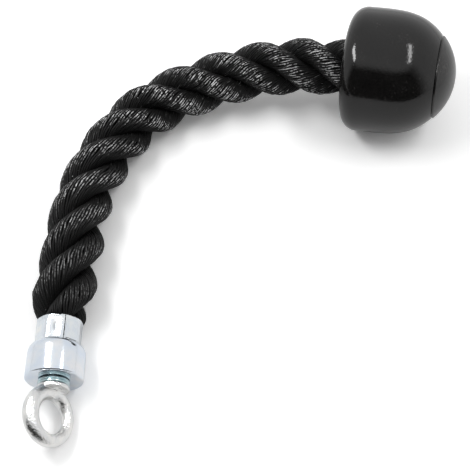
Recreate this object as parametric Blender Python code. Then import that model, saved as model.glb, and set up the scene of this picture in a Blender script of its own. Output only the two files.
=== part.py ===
"""Single-hand triceps rope: a laid rope with a swivelling steel eye at one end and a ball grip at the other.

Every length is in metres. The object lies on the plane z = 0 as it would on a table.
The fitting's axis is horizontal along Y, with the eye towards -Y. The rope leaves it towards +Y,
bends round to +X and ends in the ball. The origin is under the middle of the rigid pieces.
"""
import math

import bmesh
import bpy
from mathutils import Matrix, Vector

# Clearances
CLEARANCE = 0.0003      # between pieces that touch
OVERRUN = 0.002         # how far a cutter runs past what it cuts

# Rope
ROPE_RADIUS = 0.016
ROPE_SEAT_SHARE = 0.59375   # what the crimped sleeve leaves of the rope's radius
ROPE_LEAD = 0.0008      # straight length between the sleeve's mouth and the swelling
ROPE_FLARE = 0.014      # length over which the rope swells again after the sleeve
ROPE_FLARE_POWER = 0.45   # how soon it swells
ROPE_NECK = 0.003       # length over which the rope narrows to its stop inside the ball
STOP_SQUEEZE = 0.002    # how much the stop ring takes off the rope's radius

# Swivel cup, the thick collar of the fitting
CUP_WALL = 0.0024
CUP_LENGTH = 0.0175
CUP_END_WALL = 0.003
CUP_SHOULDER = 0.0046   # length of the rounded shoulder towards the rope
CUP_EDGE = 0.0006

# Crimp sleeve, held in the cup and squeezed to eight flats beyond it
SLEEVE_WALL = 0.0012
SLEEVE_SHOWN = 0.0133   # length that stands out of the cup
CRIMP_DEPTH = 0.0007    # how far the flats lie inside the round
CRIMP_LEAD = 0.0012     # length over which the round turns to flats
SLIT_WIDTH = 0.0006
DIMPLE_RADIUS = 0.0030
DIMPLE_DEPTH = 0.0005
FLAT_COUNT = 8
SLIT_TURN = math.radians(22.5)

# Eye bolt
STUD_RADIUS = 0.004
STUD_CHAMFER = 0.0007
EYE_RADIUS = 0.0115     # to the middle of the bar
EYE_BAR_RADIUS = 0.0036
EYE_SHOULDER_RADIUS = 0.008
EYE_SHOULDER_LENGTH = 0.0020
EYE_NECK_LENGTH = 0.0034
EYE_NECK_RADIUS = 0.0030
EYE_TURN = math.radians(52)   # how far the eye is swivelled from lying flat

# Thrust washer between the cup and the eye's shoulder
THRUST_WASHER_RADIUS = 0.0077
THRUST_WASHER_THICKNESS = 0.0026
THRUST_WASHER_EDGE = 0.0005

# Nut and washer inside the cup
INNER_WASHER_RADIUS = 0.0080
INNER_WASHER_THICKNESS = 0.0016
NUT_ACROSS_FLATS = 0.013
NUT_HEIGHT = 0.0068
INSERT_HEIGHT = 0.0016
INSERT_WALL = 0.0011
STUD_BEYOND_NUT = 0.0012

# Disc under the rope's cut end
SEAT_DISC_THICKNESS = 0.0015

# Ball grip
BALL_SWELL = 0.01155    # how far the ball stands out beyond the seam of the cap
BALL_LENGTH = 0.050     # from the rear face to the seam of the cap
BALL_RIM = 0.009        # length of the rounded rear rim
BALL_RIM_DROP = 0.0085
BALL_REAR_WALL = 0.020
BALL_NOSE_POWER = 3.8   # how late the body turns in towards the seam
CAVITY_WALL = 0.0027
CAVITY_EDGE = 0.0006

# Dome cap
CAP_STEP = 0.0005       # how far the cap lies inside the seam
CAP_RISE = 0.0090
CAP_EDGE = 0.0008
CAP_SHELL = 0.0030
CAP_PLUG_LENGTH = 0.006
CAP_PLUG_WALL = 0.0025

# Rope stop inside the ball
STOP_WASHER_WIDTH = 0.0059
STOP_WASHER_THICKNESS = 0.002
STOP_RING_WALL = 0.0022
STOP_RING_LENGTH = 0.011
WHIPPING_WALL = 0.0008
WHIPPING_LENGTH = 0.008

# How the ball lies at the end of the rope's route
BALL_YAW = math.radians(-14.3)
BALL_PITCH = math.radians(7)

# Counts
ROUND_SIDES = 48
SMALL_SIDES = 36
BAR_SIDES = 14
RIM_STEPS = 5
NOSE_STEPS = 9
DOME_STEPS = 6
SHOULDER_STEPS = 4
NECK_STEPS = 3
FLAT_STEPS = 8          # sides of the sleeve to each of its flats
ROPE_STEPS = 34         # stretches of the rope's tube between its flare and the ball
ROPE_ROUNDNESS = 4
CURVE_STEPS = 12        # points of the smooth curve to each point of the route

# How far along its flare the rope's tube has a ring
FLARE_SHARES = (0.08, 0.2, 0.4, 0.7, 1)

# The rope's route from the sleeve's mouth to the ball's rear face, from the middle of the cup's end face
ROUTE = (
    (0.0008, 0.0465, 0.0163),
    (0.0022, 0.0640, 0.0163),
    (0.0034, 0.0820, 0.0163),
    (0.0060, 0.1035, 0.0163),
    (0.0108, 0.1210, 0.0163),
    (0.0182, 0.1385, 0.0164),
    (0.0282, 0.1545, 0.0166),
    (0.0398, 0.1665, 0.0174),
    (0.0540, 0.1750, 0.0190),
    (0.0700, 0.1812, 0.0211),
    (0.0868, 0.1858, 0.0236),
    (0.1040, 0.1884, 0.0263),
    (0.1200, 0.1884, 0.0288),
    (0.1360, 0.1862, 0.0313),
    (0.1516, 0.1832, 0.0335),
)

# Radii of the fitting, from the squeezed rope outwards
ROPE_SEAT_RADIUS = ROPE_RADIUS * ROPE_SEAT_SHARE
SLEEVE_RADIUS = ROPE_SEAT_RADIUS + CLEARANCE + SLEEVE_WALL + CRIMP_DEPTH
CUP_BORE_RADIUS = SLEEVE_RADIUS + CLEARANCE
CUP_RADIUS = CUP_BORE_RADIUS + CUP_WALL
FITTING_HEIGHT = CUP_RADIUS

# Heights along the fitting's axis, from the cup's end face towards the rope
SLEEVE_FOOT = CUP_END_WALL + CLEARANCE
SLEEVE_MOUTH = CUP_LENGTH + SLEEVE_SHOWN
WASHER_FOOT = CUP_END_WALL + CLEARANCE
NUT_FOOT = WASHER_FOOT + INNER_WASHER_THICKNESS + CLEARANCE
NUT_TOP = NUT_FOOT + NUT_HEIGHT
STUD_TIP = NUT_TOP + STUD_BEYOND_NUT
DISC_FOOT = STUD_TIP + CLEARANCE
ROPE_FOOT = DISC_FOOT + SEAT_DISC_THICKNESS + CLEARANCE
STUD_HOLE = STUD_RADIUS + CLEARANCE
EYE_TOP = -2 * CLEARANCE - THRUST_WASHER_THICKNESS
EYE_CENTRE = EYE_TOP - EYE_RADIUS - EYE_BAR_RADIUS

# Radii of the ball, from the rope outwards
BORE_RADIUS = ROPE_RADIUS + CLEARANCE
STOP_RADIUS = ROPE_RADIUS - STOP_SQUEEZE
STOP_BORE = STOP_RADIUS + CLEARANCE
STOP_WASHER_RADIUS = STOP_BORE + STOP_WASHER_WIDTH
CAVITY_RADIUS = STOP_WASHER_RADIUS + CLEARANCE
SEAM_RADIUS = CAVITY_RADIUS + CAVITY_WALL
BALL_RADIUS = SEAM_RADIUS + BALL_SWELL

# Heights along the ball's axis, from its rear face
STOP_WASHER_FOOT = BALL_REAR_WALL + CLEARANCE
STOP_RING_FOOT = STOP_WASHER_FOOT + STOP_WASHER_THICKNESS + CLEARANCE
WHIPPING_FOOT = STOP_RING_FOOT + STOP_RING_LENGTH + CLEARANCE
ROPE_END = WHIPPING_FOOT + WHIPPING_LENGTH


def clear_scene():
    for item in list(bpy.data.objects):
        bpy.data.objects.remove(item, do_unlink=True)


def finish(name, colour, roughness, metallic=0.0):
    """A plain material with the piece's own colour."""
    material = bpy.data.materials.new(name)
    material.use_nodes = True
    shader = material.node_tree.nodes["Principled BSDF"]
    shader.inputs["Base Color"].default_value = (*colour, 1.0)
    shader.inputs["Roughness"].default_value = roughness
    shader.inputs["Metallic"].default_value = metallic
    return material


def guide(name, parent=None, location=(0, 0, 0), rotation=None):
    """An empty that carries pieces."""
    empty = bpy.data.objects.new(name, None)
    bpy.context.collection.objects.link(empty)
    empty.parent = parent
    empty.location = location
    if rotation is not None:
        empty.rotation_mode = "QUATERNION"
        empty.rotation_quaternion = rotation
    return empty


def piece(name, shape, material, parent):
    """An object from a bmesh, smooth on its round faces."""
    bmesh.ops.recalc_face_normals(shape, faces=shape.faces)
    mesh = bpy.data.meshes.new(name)
    shape.to_mesh(mesh)
    shape.free()
    mesh.shade_smooth()
    mesh.set_sharp_from_angle(angle=math.radians(35))
    if material is not None:
        mesh.materials.append(material)
    item = bpy.data.objects.new(name, mesh)
    bpy.context.collection.objects.link(item)
    item.parent = parent
    return item


def turned(profile, sides):
    """A bmesh turned round Z from a closed outline of (radius, height) points."""
    shape = bmesh.new()
    corners = [shape.verts.new((radius, 0, height)) for radius, height in profile]
    edges = [shape.edges.new(pair) for pair in zip(corners, corners[1:] + corners[:1])]
    bmesh.ops.spin(shape, geom=corners + edges, cent=(0, 0, 0), axis=(0, 0, 1),
                   angle=math.tau, steps=sides, use_merge=True)
    bmesh.ops.remove_doubles(shape, verts=shape.verts, dist=CLEARANCE / 100)
    on_axis = [edge for edge in shape.edges if not edge.link_faces]
    bmesh.ops.delete(shape, geom=on_axis, context="EDGES")
    return shape


def ring_outline(inner, outer, foot, top, edge=0.0):
    """The outline of a flat ring, with its outer edges cut back."""
    if edge == 0:
        return [(inner, foot), (outer, foot), (outer, top), (inner, top)]
    return [(inner, foot), (outer - edge, foot), (outer, foot + edge),
            (outer, top - edge), (outer - edge, top), (inner, top)]


def arc(centre, across, along, start, end, steps):
    """Points of an ellipse's arc, as (radius, height)."""
    angles = [start + (end - start) * step / steps for step in range(steps + 1)]
    return [(centre[0] + across * math.cos(angle), centre[1] + along * math.sin(angle)) for angle in angles]


def boolean(target, tool, operation):
    """Cuts or joins with another object, which stays as a hidden guide."""
    modifier = target.modifiers.new(tool.name, "BOOLEAN")
    modifier.operation = operation
    modifier.solver = "EXACT"
    modifier.object = tool
    tool.hide_render = True
    tool.display_type = "WIRE"


def make_cup(parent, material):
    quarter = math.pi / 2
    shoulder_foot = (CUP_BORE_RADIUS, CUP_LENGTH - CUP_SHOULDER)
    shoulder = arc(shoulder_foot, CUP_WALL, CUP_SHOULDER, 0, quarter, SHOULDER_STEPS)
    lip = (CUP_BORE_RADIUS + CUP_WALL / 6, CUP_LENGTH)
    outline = [(STUD_HOLE, 0), (CUP_RADIUS - CUP_EDGE, 0), (CUP_RADIUS, CUP_EDGE)]
    outline += shoulder[:-1] + [lip, (CUP_BORE_RADIUS, CUP_LENGTH), (CUP_BORE_RADIUS, CUP_END_WALL),
                                (STUD_HOLE, CUP_END_WALL)]
    return piece("swivel_cup", turned(outline, ROUND_SIDES), material, parent)


def flat_radius(angle, crimp):
    """The sleeve's outer radius at an angle, where the flats lie crimp inside the round."""
    step = math.tau / FLAT_COUNT
    off = (angle + step / 2) % step - step / 2
    return min(SLEEVE_RADIUS, (SLEEVE_RADIUS - crimp) / math.cos(off))


def make_sleeve(parent, material):
    """A tube with flats beyond the cup, slit along its length and dimpled on the upper flat."""
    stations = ((SLEEVE_FOOT, 0), (CUP_LENGTH, 0),
                (CUP_LENGTH + CRIMP_LEAD, CRIMP_DEPTH), (SLEEVE_MOUTH, CRIMP_DEPTH))
    sides = FLAT_COUNT * FLAT_STEPS
    shape = bmesh.new()
    rings = []
    for wall in (0, SLEEVE_WALL):
        for height, crimp in stations if wall == 0 else reversed(stations):
            angles = [math.tau * side / sides for side in range(sides)]
            radii = [flat_radius(angle, crimp) - wall for angle in angles]
            rings.append([shape.verts.new((radius * math.cos(angle), radius * math.sin(angle), height))
                          for angle, radius in zip(angles, radii)])
    for ring, after in zip(rings, rings[1:] + rings[:1]):
        for side in range(sides):
            beyond = (side + 1) % sides
            shape.faces.new((ring[side], ring[beyond], after[beyond], after[side]))
    sleeve = piece("crimp_sleeve", shape, material, parent)

    height = SLEEVE_MOUTH - SLEEVE_FOOT + 2 * OVERRUN
    slot = bmesh.new()
    bmesh.ops.create_cube(slot, size=1.0)
    bmesh.ops.scale(slot, vec=(SLIT_WIDTH, SLEEVE_RADIUS, height), verts=slot.verts)
    bmesh.ops.translate(slot, vec=(0, -SLEEVE_RADIUS, (SLEEVE_MOUTH + SLEEVE_FOOT) / 2), verts=slot.verts)
    bmesh.ops.rotate(slot, cent=(0, 0, 0), matrix=Matrix.Rotation(SLIT_TURN, 3, "Z"), verts=slot.verts)
    boolean(sleeve, piece("slit_cutter", slot, None, parent), "DIFFERENCE")

    punch = bmesh.new()
    bmesh.ops.create_icosphere(punch, subdivisions=3, radius=DIMPLE_RADIUS)
    upper_flat = SLEEVE_RADIUS - CRIMP_DEPTH
    middle = CUP_LENGTH + (SLEEVE_SHOWN + CRIMP_LEAD) / 2
    depth = DIMPLE_RADIUS - DIMPLE_DEPTH
    bmesh.ops.translate(punch, vec=(0, -upper_flat - depth, middle), verts=punch.verts)
    boolean(sleeve, piece("dimple_cutter", punch, None, parent), "DIFFERENCE")
    return sleeve


def make_eye(parent, material):
    """The stud and shoulder are turned; the ring is a bar swept round and joined to them."""
    quarter = math.pi / 2
    shoulder_foot = EYE_TOP - EYE_SHOULDER_LENGTH
    neck_foot = shoulder_foot - EYE_NECK_LENGTH
    neck = arc((EYE_SHOULDER_RADIUS, neck_foot), EYE_NECK_RADIUS - EYE_SHOULDER_RADIUS,
               EYE_NECK_LENGTH, quarter, 0, NECK_STEPS)
    outline = [(0, STUD_TIP), (0, neck_foot), *reversed(neck), (EYE_SHOULDER_RADIUS, EYE_TOP),
               (STUD_RADIUS, EYE_TOP), (STUD_RADIUS, STUD_TIP - STUD_CHAMFER),
               (STUD_RADIUS - STUD_CHAMFER, STUD_TIP)]
    eye = piece("eye_bolt", turned(outline, SMALL_SIDES), material, parent)

    ring = bmesh.new()
    section = bmesh.ops.create_circle(ring, segments=BAR_SIDES, radius=EYE_BAR_RADIUS)["verts"]
    bmesh.ops.translate(ring, vec=(EYE_RADIUS, 0, 0), verts=section)
    bmesh.ops.spin(ring, geom=ring.verts[:] + ring.edges[:], cent=(0, 0, 0), axis=(0, 1, 0),
                   angle=math.tau, steps=SMALL_SIDES, use_merge=True)
    bmesh.ops.remove_doubles(ring, verts=ring.verts, dist=CLEARANCE / 100)
    bmesh.ops.translate(ring, vec=(0, 0, EYE_CENTRE), verts=ring.verts)
    boolean(eye, piece("eye_ring_guide", ring, material, parent), "UNION")
    return eye


def make_washers(parent, dark, zinc):
    outline = ring_outline(STUD_HOLE, THRUST_WASHER_RADIUS, -CLEARANCE - THRUST_WASHER_THICKNESS,
                           -CLEARANCE, THRUST_WASHER_EDGE)
    piece("thrust_washer", turned(outline, SMALL_SIDES), dark, parent)
    outline = ring_outline(STUD_HOLE, INNER_WASHER_RADIUS, WASHER_FOOT, WASHER_FOOT + INNER_WASHER_THICKNESS)
    piece("inner_washer", turned(outline, SMALL_SIDES), zinc, parent)


def make_nut(parent, zinc, nylon):
    """A hexagonal nut with a recess at its top that holds the nylon ring."""
    recess_radius = STUD_HOLE + INSERT_WALL + CLEARANCE
    recess_foot = NUT_TOP - INSERT_HEIGHT - CLEARANCE
    corner_radius = NUT_ACROSS_FLATS / 2 / math.cos(math.pi / 6)
    shape = bmesh.new()
    bmesh.ops.create_cone(shape, cap_ends=True, segments=6, radius1=corner_radius, radius2=corner_radius,
                          depth=NUT_HEIGHT)
    bmesh.ops.translate(shape, vec=(0, 0, NUT_FOOT + NUT_HEIGHT / 2), verts=shape.verts)
    nut = piece("lock_nut", shape, zinc, parent)
    outline = [(0, NUT_FOOT - OVERRUN), (STUD_HOLE, NUT_FOOT - OVERRUN), (STUD_HOLE, recess_foot),
               (recess_radius, recess_foot), (recess_radius, NUT_TOP + OVERRUN), (0, NUT_TOP + OVERRUN)]
    boolean(nut, piece("nut_bore_cutter", turned(outline, SMALL_SIDES), None, parent), "DIFFERENCE")
    outline = ring_outline(STUD_HOLE, STUD_HOLE + INSERT_WALL, NUT_TOP - INSERT_HEIGHT, NUT_TOP)
    piece("nut_insert", turned(outline, SMALL_SIDES), nylon, parent)


def make_seat_disc(parent, material):
    radius = SLEEVE_RADIUS - SLEEVE_WALL - CLEARANCE
    top = DISC_FOOT + SEAT_DISC_THICKNESS
    outline = [(0, DISC_FOOT), (radius, DISC_FOOT), (radius, top), (0, top)]
    piece("seat_disc", turned(outline, ROUND_SIDES), material, parent)


def body_radius(height):
    """The ball's outer radius beyond its rear rim."""
    share = (height - BALL_RIM) / (BALL_LENGTH - BALL_RIM)
    return BALL_RADIUS - BALL_SWELL * share ** BALL_NOSE_POWER


def ball_outline():
    """The ball's outer surface from its rear face to the seam."""
    quarter = math.pi / 2
    rim = arc((BALL_RADIUS - BALL_RIM_DROP, BALL_RIM), BALL_RIM_DROP, BALL_RIM, -quarter, 0, RIM_STEPS)
    nose = []
    for step in range(1, NOSE_STEPS + 1):
        share = math.sin(quarter * step / NOSE_STEPS)
        height = BALL_RIM + (BALL_LENGTH - BALL_RIM) * share
        nose.append((body_radius(height), height))
    return rim + nose


def ball_rear_height():
    """How high the middle of the rear face is when the pitched ball's rim touches the table."""
    round_middle = (BALL_RADIUS - BALL_RIM_DROP) * math.cos(BALL_PITCH) - BALL_RIM * math.sin(BALL_PITCH)
    return round_middle + math.hypot(BALL_RIM_DROP * math.cos(BALL_PITCH), BALL_RIM * math.sin(BALL_PITCH))


def make_ball(parent, material):
    """The body is bored for the rope from behind and hollow in front, where the cap closes it."""
    outline = [(BORE_RADIUS, 0), *ball_outline(), (CAVITY_RADIUS + CAVITY_EDGE, BALL_LENGTH),
               (CAVITY_RADIUS, BALL_LENGTH - CAVITY_EDGE), (CAVITY_RADIUS, BALL_REAR_WALL),
               (BORE_RADIUS, BALL_REAR_WALL)]
    piece("ball_body", turned(outline, ROUND_SIDES), material, parent)


def make_cap(parent, material):
    """A domed shell with a plug that fits the ball's front."""
    radius = SEAM_RADIUS - CAP_STEP
    foot = BALL_LENGTH + CLEARANCE
    brim = foot + CAP_EDGE
    sphere = (radius ** 2 + CAP_RISE ** 2) / (2 * CAP_RISE)
    centre = (0, brim + CAP_RISE - sphere)
    half_turn = math.pi / 2
    edge_angle = math.acos(radius / sphere)
    outside = arc(centre, sphere, sphere, half_turn, edge_angle, DOME_STEPS)
    plug = CAVITY_RADIUS - CLEARANCE
    plug_inner = plug - CAP_PLUG_WALL
    hollow = sphere - CAP_SHELL
    hollow_angle = math.acos(plug_inner / hollow)
    inside = arc(centre, hollow, hollow, hollow_angle, half_turn, DOME_STEPS)
    plug_foot = BALL_LENGTH - CAP_PLUG_LENGTH
    outline = [*outside, (radius, foot), (plug, foot), (plug, plug_foot), (plug_inner, plug_foot), *inside]
    piece("ball_cap", turned(outline, ROUND_SIDES), material, parent)


def make_rope_stop(parent, steel, tape):
    outline = ring_outline(STOP_BORE, STOP_WASHER_RADIUS, STOP_WASHER_FOOT, STOP_RING_FOOT - CLEARANCE)
    piece("stop_washer", turned(outline, ROUND_SIDES), steel, parent)
    outline = ring_outline(STOP_BORE, STOP_BORE + STOP_RING_WALL, STOP_RING_FOOT, WHIPPING_FOOT - CLEARANCE)
    piece("stop_ring", turned(outline, ROUND_SIDES), steel, parent)
    outline = ring_outline(STOP_BORE, STOP_BORE + WHIPPING_WALL, WHIPPING_FOOT, ROPE_END)
    piece("end_whipping", turned(outline, SMALL_SIDES), tape, parent)


def curve_through(points, steps):
    """Evenly spread points of a smooth curve that passes through the given ones."""
    padded = [2 * points[0] - points[1], *points, 2 * points[-1] - points[-2]]
    fine = []
    for index in range(1, len(padded) - 2):
        before, start, end, after = padded[index - 1:index + 3]
        for part in range(steps):
            t = part / steps
            fine.append(0.5 * (2 * start + (end - before) * t
                               + (2 * before - 5 * start + 4 * end - after) * t ** 2
                               + (3 * start - before - 3 * end + after) * t ** 3))
    fine.append(points[-1])
    lengths = [0.0]
    for start, end in zip(fine, fine[1:]):
        lengths.append(lengths[-1] + (end - start).length)
    return fine, lengths


def point_at(fine, lengths, distance):
    """The point of a curve at a distance along it."""
    index = next((i for i, length in enumerate(lengths) if length > distance), len(lengths) - 1)
    start, end = lengths[index - 1], lengths[index]
    return fine[index - 1].lerp(fine[index], (distance - start) / (end - start))


def make_rope(parent, material, ball_rear, ball_axis):
    """The rope's tube, squeezed in the sleeve and again in its stop inside the ball."""
    foot = Vector((0, ROPE_FOOT, FITTING_HEIGHT))
    mouth = Vector((0, SLEEVE_MOUTH + ROPE_LEAD, FITTING_HEIGHT))
    neck = ball_rear + ball_axis * (BALL_REAR_WALL - ROPE_NECK)
    inside = ball_rear + ball_axis * BALL_REAR_WALL
    end = ball_rear + ball_axis * ROPE_END
    between = [Vector(place) for place in ROUTE[:-1]]
    fine, lengths = curve_through([mouth, *between, ball_rear], CURVE_STEPS)
    total = lengths[-1]
    places = [(foot, ROPE_SEAT_RADIUS), (mouth, ROPE_SEAT_RADIUS)]
    swell = ROPE_RADIUS - ROPE_SEAT_RADIUS
    for share in FLARE_SHARES:
        radius = ROPE_SEAT_RADIUS + swell * share ** ROPE_FLARE_POWER
        places.append((point_at(fine, lengths, ROPE_FLARE * share), radius))
    for step in range(1, ROPE_STEPS):
        distance = ROPE_FLARE + (total - ROPE_FLARE) * step / ROPE_STEPS
        places.append((point_at(fine, lengths, distance), ROPE_RADIUS))
    places += [(ball_rear, ROPE_RADIUS), (neck, ROPE_RADIUS), (inside, STOP_RADIUS), (end, STOP_RADIUS)]

    curve = bpy.data.curves.new("rope", "CURVE")
    curve.dimensions = "3D"
    curve.bevel_depth = ROPE_RADIUS
    curve.bevel_resolution = ROPE_ROUNDNESS
    curve.use_fill_caps = True
    spline = curve.splines.new("POLY")
    spline.points.add(len(places) - 1)
    for point, (place, radius) in zip(spline.points, places):
        point.co = (*place, 1.0)
        point.radius = radius / ROPE_RADIUS
    curve.materials.append(material)
    rope = bpy.data.objects.new("rope", curve)
    bpy.context.collection.objects.link(rope)
    rope.parent = parent
    return rope


def settle(base, left_out):
    """Moves the base so that the origin lies under the middle of the rigid pieces."""
    graph = bpy.context.evaluated_depsgraph_get()
    corners = []
    for item in bpy.data.objects:
        if item.type == "MESH" and not item.hide_render and item not in left_out:
            shown = item.evaluated_get(graph)
            corners += [shown.matrix_world @ vertex.co for vertex in shown.data.vertices]
    low = [min(corner[axis] for corner in corners) for axis in range(3)]
    high = [max(corner[axis] for corner in corners) for axis in range(3)]
    base.location = (-(low[0] + high[0]) / 2, -(low[1] + high[1]) / 2, 0)


def main():
    clear_scene()
    zinc = finish("zinc_plate", (0.72, 0.75, 0.80), 0.28, 1.0)
    forged = finish("eye_zinc", (0.80, 0.80, 0.80), 0.22, 1.0)
    dark_zinc = finish("thrust_washer_dark", (0.04, 0.09, 0.10), 0.35, 0.6)
    steel = finish("stop_steel", (0.55, 0.56, 0.58), 0.40, 1.0)
    nylon = finish("insert_nylon", (0.10, 0.16, 0.45), 0.50)
    rubber = finish("ball_black", (0.012, 0.012, 0.014), 0.22)
    fibre = finish("rope_black", (0.018, 0.018, 0.020), 0.60)
    tape = finish("whipping_tape", (0.03, 0.03, 0.03), 0.55)

    base = guide("base")
    lying = Matrix.Rotation(-math.pi / 2, 3, "X").to_quaternion()
    fitting = guide("fitting_axis", base, (0, 0, FITTING_HEIGHT), lying)
    swivelled = Matrix.Rotation(EYE_TURN, 3, "Z").to_quaternion()
    swivel = guide("eye_swivel_axis", fitting, (0, 0, 0), swivelled)
    make_cup(fitting, zinc)
    make_sleeve(fitting, zinc)
    make_seat_disc(fitting, steel)
    make_eye(swivel, forged)
    make_washers(swivel, dark_zinc, zinc)
    make_nut(swivel, zinc, nylon)

    axis = Vector((math.cos(BALL_YAW) * math.cos(BALL_PITCH), math.sin(BALL_YAW) * math.cos(BALL_PITCH),
                   math.sin(BALL_PITCH)))
    rear = Vector((ROUTE[-1][0], ROUTE[-1][1], ball_rear_height()))
    seat = guide("ball_axis", base, rear, axis.to_track_quat("Z", "Y"))
    make_ball(seat, rubber)
    make_cap(seat, rubber)
    make_rope_stop(seat, steel, tape)

    rope = make_rope(base, fibre, rear, axis)
    bpy.context.view_layer.update()
    settle(base, [rope])


main()
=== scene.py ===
import math

import bmesh
import bpy
from mathutils import Matrix, Vector, noise


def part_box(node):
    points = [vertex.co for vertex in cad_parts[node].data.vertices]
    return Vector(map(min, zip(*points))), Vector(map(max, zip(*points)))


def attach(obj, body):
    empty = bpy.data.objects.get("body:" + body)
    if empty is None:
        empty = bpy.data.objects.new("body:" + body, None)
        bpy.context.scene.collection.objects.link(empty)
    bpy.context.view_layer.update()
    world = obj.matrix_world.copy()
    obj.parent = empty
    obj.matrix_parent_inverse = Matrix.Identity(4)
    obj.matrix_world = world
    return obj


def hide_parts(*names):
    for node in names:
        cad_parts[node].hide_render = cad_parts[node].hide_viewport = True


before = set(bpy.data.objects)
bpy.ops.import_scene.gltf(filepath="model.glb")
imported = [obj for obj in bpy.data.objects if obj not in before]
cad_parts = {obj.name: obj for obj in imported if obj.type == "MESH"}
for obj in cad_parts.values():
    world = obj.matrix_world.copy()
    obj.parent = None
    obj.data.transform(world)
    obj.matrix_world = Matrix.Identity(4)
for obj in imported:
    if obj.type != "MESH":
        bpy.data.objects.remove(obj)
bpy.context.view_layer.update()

scene = bpy.context.scene
fullTurn = 2 * math.pi
quarterTurn = math.pi / 2
print("frame loaded")

# the camera looks down at the table from the side of the eye
view = {
    "target": (-0.0107, 0.0013, 0),    # the table point in the middle of the picture
    "elevation": math.radians(58),
    "distance": 0.52,
    "lens": 72.8,
    "sensor": 36,
    "clipStart": 0.01,
}


def placeObject(name, data):
    made = bpy.data.objects.new(name, data)
    scene.collection.objects.link(made)
    return made


def makeCamera():
    data = bpy.data.cameras.new("camera")
    data.lens = view["lens"]
    data.sensor_width = view["sensor"]
    data.clip_start = view["clipStart"]
    camera = placeObject("camera", data)
    away = Vector((0, -math.cos(view["elevation"]), math.sin(view["elevation"])))
    camera.location = Vector(view["target"]) + away * view["distance"]
    camera.rotation_euler = away.to_track_quat("Z", "Y").to_euler()
    scene.camera = camera


makeCamera()


def setDefaults(made, inputs):
    # an input takes another node's output or a plain value
    for key, value in inputs.items():
        socket = made.inputs[key]
        if isinstance(value, bpy.types.NodeSocket):
            made.id_data.links.new(value, socket)
        else:
            socket.default_value = value


def adder(tree):
    # gives a function that adds a node to the tree, with its settings and inputs
    def add(kind, inputs=None, **settings):
        made = tree.nodes.new(kind)
        for key, value in settings.items():
            setattr(made, key, value)
        setDefaults(made, inputs or {})
        return made
    return add


def calculator(add):
    def calc(operation, first, second=None):
        inputs = {0: first} if second is None else {0: first, 1: second}
        return add("ShaderNodeMath", inputs, operation=operation).outputs[0]
    return calc


def vectorCalculator(add):
    def calc(operation, first, second=None, scale=None):
        inputs = {0: first}
        if second is not None:
            inputs[1] = second
        if scale is not None:
            inputs["Scale"] = scale
        made = add("ShaderNodeVectorMath", inputs, operation=operation)
        return made.outputs["Value" if operation in ("DOT_PRODUCT", "LENGTH") else "Vector"]
    return calc


def ranger(add):
    # maps one range of a value to another, straight or with soft ends
    def spread(value, ends=(0.0, 1.0), to=(0.0, 1.0), soft=False):
        return add("ShaderNodeMapRange", {"Value": value, "From Min": ends[0], "From Max": ends[1],
                                          "To Min": to[0], "To Max": to[1]},
                   interpolation_type="SMOOTHSTEP" if soft else "LINEAR").outputs[0]
    return spread


def clouder(add):
    def cloud(place, scale, detail, roughness=0.5, distortion=0.0):
        return add("ShaderNodeTexNoise", {"Vector": place, "Scale": scale, "Detail": detail,
                                          "Roughness": roughness, "Distortion": distortion}).outputs[0]
    return cloud


def startTree(name, kind, inputs, outputs):
    tree = bpy.data.node_groups.new(name, kind)
    for label, socketType in inputs:
        tree.interface.new_socket(label, in_out="INPUT", socket_type=socketType)
    for label, socketType in outputs:
        tree.interface.new_socket(label, in_out="OUTPUT", socket_type=socketType)
    return tree


def setInputs(modifier, values):
    for item in modifier.node_group.interface.items_tree:
        if item.in_out == "INPUT" and item.name in values:
            modifier[item.identifier] = values[item.name]


def startMaterial(name):
    material = bpy.data.materials.new(name)
    material.use_nodes = True
    return material, material.node_tree.nodes["Principled BSDF"], adder(material.node_tree)


def finishMaterial(add, shader, look, height, inputs):
    bump = add("ShaderNodeBump", {"Height": height, "Strength": look["bump"], "Distance": look["bumpDepth"]})
    setDefaults(shader, {**inputs, "Normal": bump.outputs[0]})


# the rope's route from the sleeve to the ball, from the table point under the middle of the cup's end face
ropeRoute = [
    (0.0008, 0.0465, 0.0163), (0.0022, 0.0640, 0.0163), (0.0034, 0.0820, 0.0163), (0.0060, 0.1035, 0.0163),
    (0.0108, 0.1210, 0.0163), (0.0182, 0.1385, 0.0164), (0.0282, 0.1545, 0.0166), (0.0398, 0.1665, 0.0174),
    (0.0540, 0.1750, 0.0190), (0.0700, 0.1812, 0.0211), (0.0868, 0.1858, 0.0236), (0.1040, 0.1884, 0.0263),
    (0.1200, 0.1884, 0.0288), (0.1360, 0.1862, 0.0313), (0.1516, 0.1832, 0.033465),
]

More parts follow.
